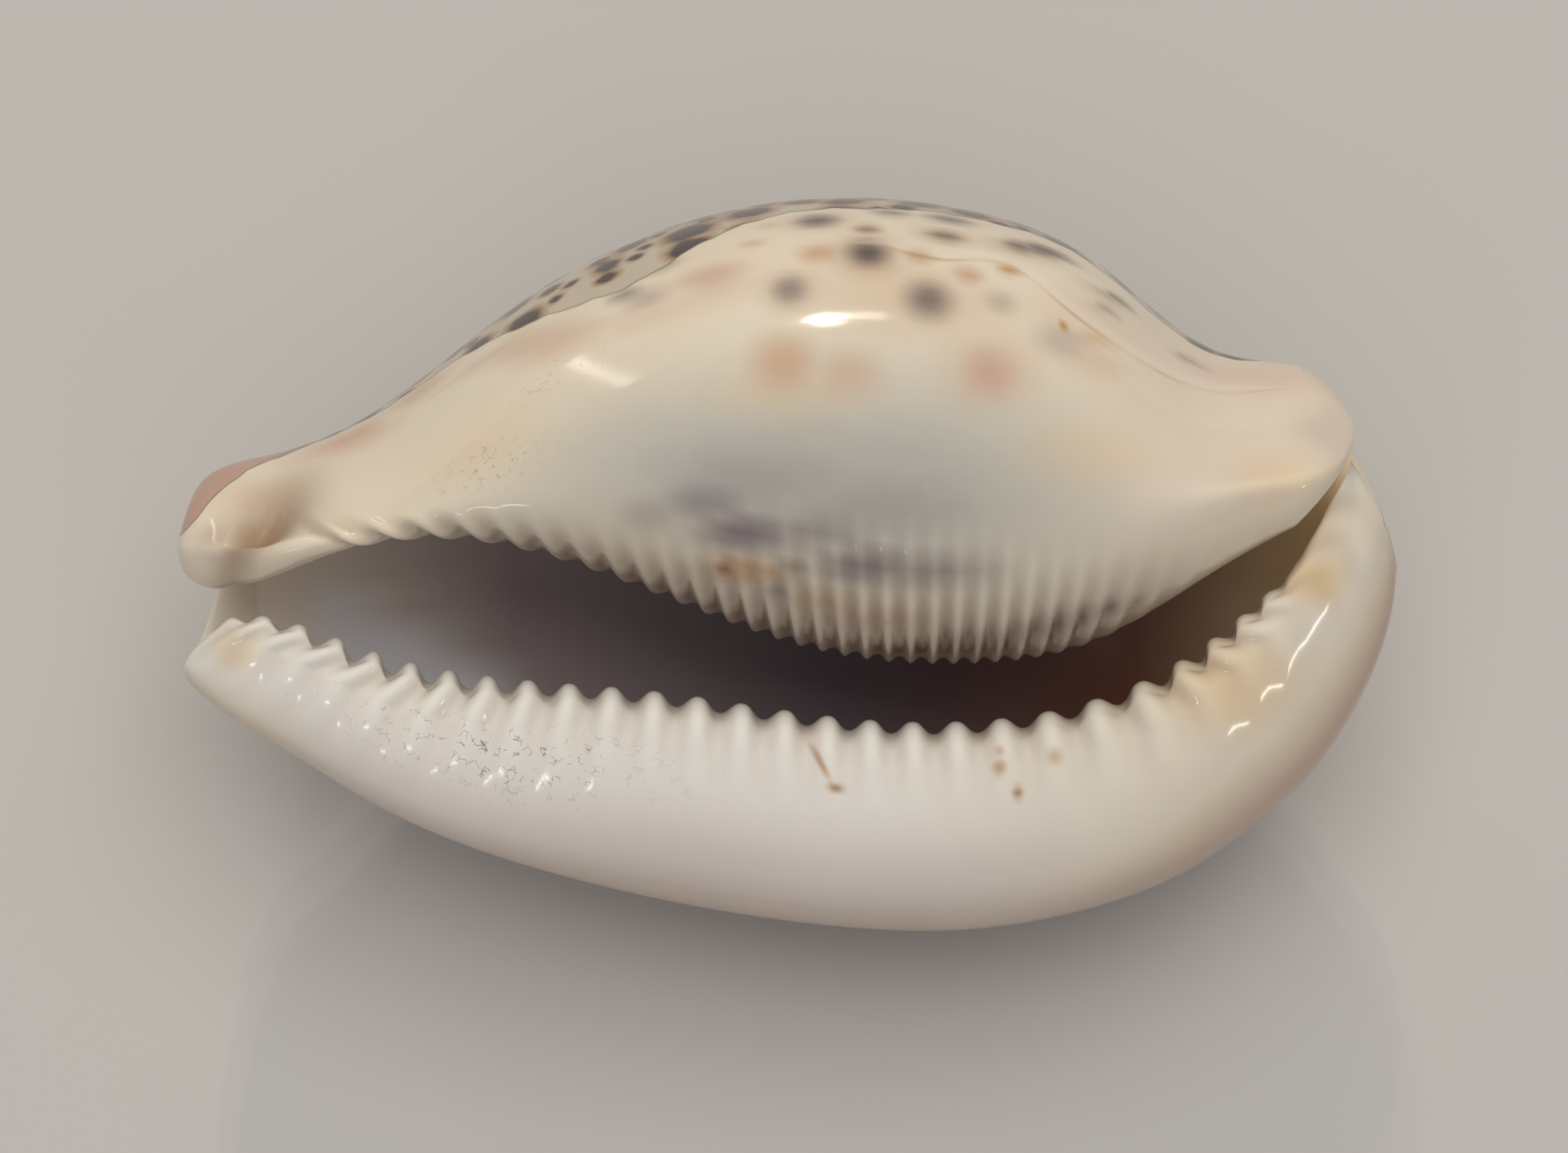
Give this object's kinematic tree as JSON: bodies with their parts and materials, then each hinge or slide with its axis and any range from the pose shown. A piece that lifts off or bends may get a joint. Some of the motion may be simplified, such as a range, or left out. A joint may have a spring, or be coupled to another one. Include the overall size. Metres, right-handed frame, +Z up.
{
  "type": "panther cowrie shell",
  "caption": "Egg-shaped glossy cowrie shell with a toothed slit mouth, lying on its spotted back on a small flat spot.",
  "frame": {"origin": "centre of the bottom of the bounding box, on the surface that the shell lies on", "axes": "+X along the shell to its posterior (blunt) end, +Z up, -Y to the outer (labral) lip side; the toothed base faces up and 40 degrees toward -Y"},
  "size_m": [0.0694, 0.0414, 0.0384],
  "materials": {
    "shell": "high natural porcelain gloss, cream base, dark spots on the back"
  },
  "bodies": {
    "root": {"shell": "shell"}
  },
  "joints": []
}
